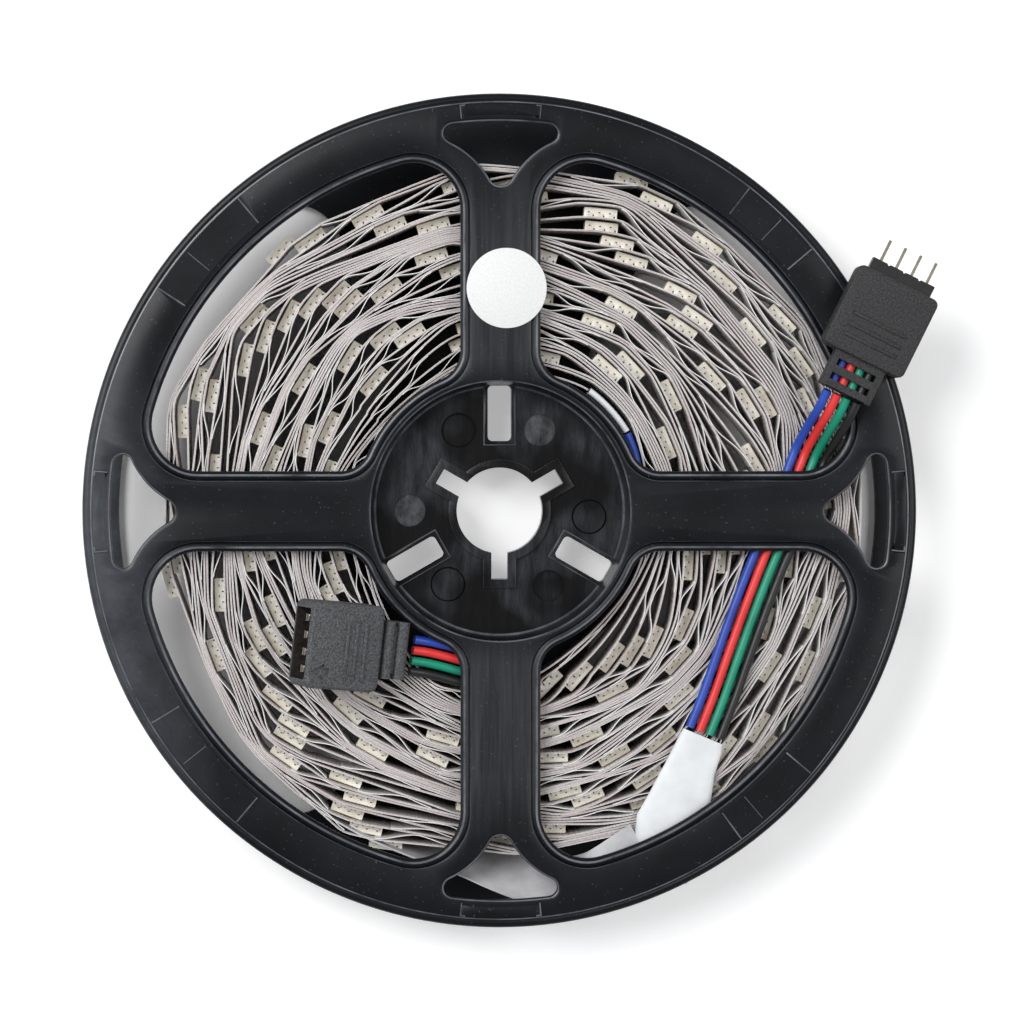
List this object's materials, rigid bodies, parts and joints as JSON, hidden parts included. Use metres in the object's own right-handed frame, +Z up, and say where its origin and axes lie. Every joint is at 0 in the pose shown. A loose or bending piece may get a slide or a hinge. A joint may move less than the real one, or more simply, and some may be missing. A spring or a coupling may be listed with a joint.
{
  "type": "led strip light reel",
  "caption": "Spoked plastic spool wound with LED light strip, with a wire lead to a pin plug and a wire lead to a socket.",
  "frame": {"origin": "on the spool's axis at the face it rests on", "axes": "+Z up along the spool's axis, +Y along the spoke with the round label"},
  "size_m": [0.1279, 0.125, 0.0254],
  "materials": {
    "spool": "satin black injection moulding",
    "strip": "silver-grey strip edges with cream packages",
    "sleeve": "white shrink sleeve",
    "wire_blue": "satin insulation",
    "wire_red": "satin insulation",
    "wire_green": "satin insulation",
    "wire_black": "satin insulation",
    "plug": "fine textured moulding",
    "socket": "fine textured moulding",
    "header": "plain",
    "contact": "tinned",
    "label": "satin white"
  },
  "bodies": {
    "root": {"spool_upper_half": "spool", "spool_lower_half": "spool", "led_strip": "strip", "inner_end_sleeve": "sleeve", "outer_end_sleeve": "sleeve", "outer_wire_blue": "wire_blue", "outer_wire_red": "wire_red", "outer_wire_green": "wire_green", "outer_wire_black": "wire_black", "inner_wire_blue": "wire_blue", "inner_wire_red": "wire_red", "inner_wire_green": "wire_green", "inner_wire_black": "wire_black", "plug_body": "plug", "plug_header": "header", "plug_pin_1": "contact", "plug_pin_2": "contact", "plug_pin_3": "contact", "plug_pin_4": "contact", "socket_body": "socket", "socket_contact_1": "contact", "socket_contact_2": "contact", "socket_contact_3": "contact", "socket_contact_4": "contact", "round_label": "label"}
  },
  "joints": []
}
